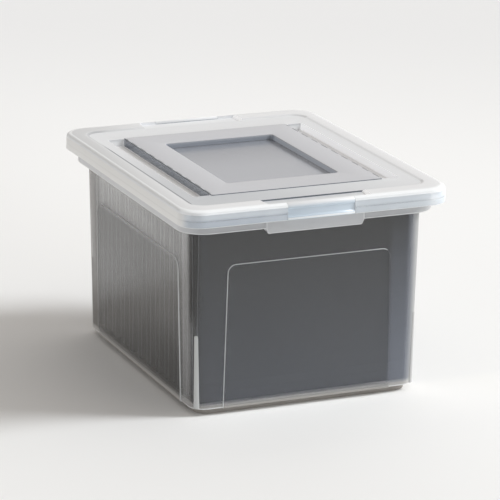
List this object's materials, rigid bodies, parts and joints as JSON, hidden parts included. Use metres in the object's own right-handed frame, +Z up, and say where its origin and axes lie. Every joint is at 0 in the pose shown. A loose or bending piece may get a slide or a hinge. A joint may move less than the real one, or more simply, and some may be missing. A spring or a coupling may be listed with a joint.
{
  "type": "portable file box",
  "caption": "Translucent plastic file box with a drafted tub, a clip-on stacking lid with a clear window, end latches and grips, and a row of hanging folders on rails.",
  "frame": {"origin": "centre of the foot's underside, under the middle of the box", "axes": "+X right along the short side that carries a latch, +Y along the long side towards the back latch, +Z up"},
  "size_m": [0.361, 0.457, 0.276],
  "materials": {
    "tub_plastic": "translucent, lightly frosted polypropylene",
    "lid_plastic": "translucent frosted polypropylene",
    "latch_plastic": "translucent frosted polypropylene",
    "folder_board": "matt dark grey board",
    "hanger_steel": "plain strip steel"
  },
  "bodies": {
    "tub": {"tub": "tub_plastic"},
    "lid": {"lid": "lid_plastic"},
    "latch_front": {"latch_front": "latch_plastic"},
    "latch_back": {"latch_back": "latch_plastic"},
    "folder_01": {"folder_01": "folder_board", "hanger_01": "hanger_steel"},
    "folder_02": {"folder_02": "folder_board", "hanger_02": "hanger_steel"},
    "folder_03": {"folder_03": "folder_board", "hanger_03": "hanger_steel"},
    "folder_04": {"folder_04": "folder_board", "hanger_04": "hanger_steel"},
    "folder_05": {"folder_05": "folder_board", "hanger_05": "hanger_steel"},
    "folder_06": {"folder_06": "folder_board", "hanger_06": "hanger_steel"},
    "folder_07": {"folder_07": "folder_board", "hanger_07": "hanger_steel"},
    "folder_08": {"folder_08": "folder_board", "hanger_08": "hanger_steel"},
    "folder_09": {"folder_09": "folder_board", "hanger_09": "hanger_steel"},
    "folder_10": {"folder_10": "folder_board", "hanger_10": "hanger_steel"},
    "folder_11": {"folder_11": "folder_board", "hanger_11": "hanger_steel"},
    "folder_12": {"folder_12": "folder_board", "hanger_12": "hanger_steel"}
  },
  "joints": [
    {"name": "lid_lift", "type": "slide", "parent": "tub", "child": "lid", "axis": [0, 0, 1], "range_m": [0, 0.024]},
    {"name": "latch_front_flex", "type": "hinge", "parent": "lid", "child": "latch_front", "pos_m": [0, -0.2255, 0.273], "axis": [-1, 0, 0], "range_deg": [0, 17.5]},
    {"name": "latch_back_flex", "type": "hinge", "parent": "lid", "child": "latch_back", "pos_m": [0, 0.2255, 0.273], "axis": [1, 0, 0], "range_deg": [0, 17.5]},
    {"name": "folder_01_slide", "type": "slide", "parent": "tub", "child": "folder_01", "axis": [0, 1, 0], "range_m": [-0.001, 0.0028]},
    {"name": "folder_02_slide", "type": "slide", "parent": "tub", "child": "folder_02", "axis": [0, 1, 0], "range_m": [-0.0028, 0.0028]},
    {"name": "folder_03_slide", "type": "slide", "parent": "tub", "child": "folder_03", "axis": [0, 1, 0], "range_m": [-0.0028, 0.0028]},
    {"name": "folder_04_slide", "type": "slide", "parent": "tub", "child": "folder_04", "axis": [0, 1, 0], "range_m": [-0.0028, 0.0028]},
    {"name": "folder_05_slide", "type": "slide", "parent": "tub", "child": "folder_05", "axis": [0, 1, 0], "range_m": [-0.0028, 0.0028]},
    {"name": "folder_06_slide", "type": "slide", "parent": "tub", "child": "folder_06", "axis": [0, 1, 0], "range_m": [-0.0028, 0.0028]},
    {"name": "folder_07_slide", "type": "slide", "parent": "tub", "child": "folder_07", "axis": [0, 1, 0], "range_m": [-0.0028, 0.0028]},
    {"name": "folder_08_slide", "type": "slide", "parent": "tub", "child": "folder_08", "axis": [0, 1, 0], "range_m": [-0.0028, 0.0028]},
    {"name": "folder_09_slide", "type": "slide", "parent": "tub", "child": "folder_09", "axis": [0, 1, 0], "range_m": [-0.0028, 0.0028]},
    {"name": "folder_10_slide", "type": "slide", "parent": "tub", "child": "folder_10", "axis": [0, 1, 0], "range_m": [-0.0028, 0.0028]},
    {"name": "folder_11_slide", "type": "slide", "parent": "tub", "child": "folder_11", "axis": [0, 1, 0], "range_m": [-0.0028, 0.0028]},
    {"name": "folder_12_slide", "type": "slide", "parent": "tub", "child": "folder_12", "axis": [0, 1, 0], "range_m": [-0.0028, 0.001]}
  ],
  "couplings": [
    {"joint": "latch_front_flex", "follows": "lid_lift", "rad_per_m": 12},
    {"joint": "latch_back_flex", "follows": "lid_lift", "rad_per_m": 12}
  ]
}
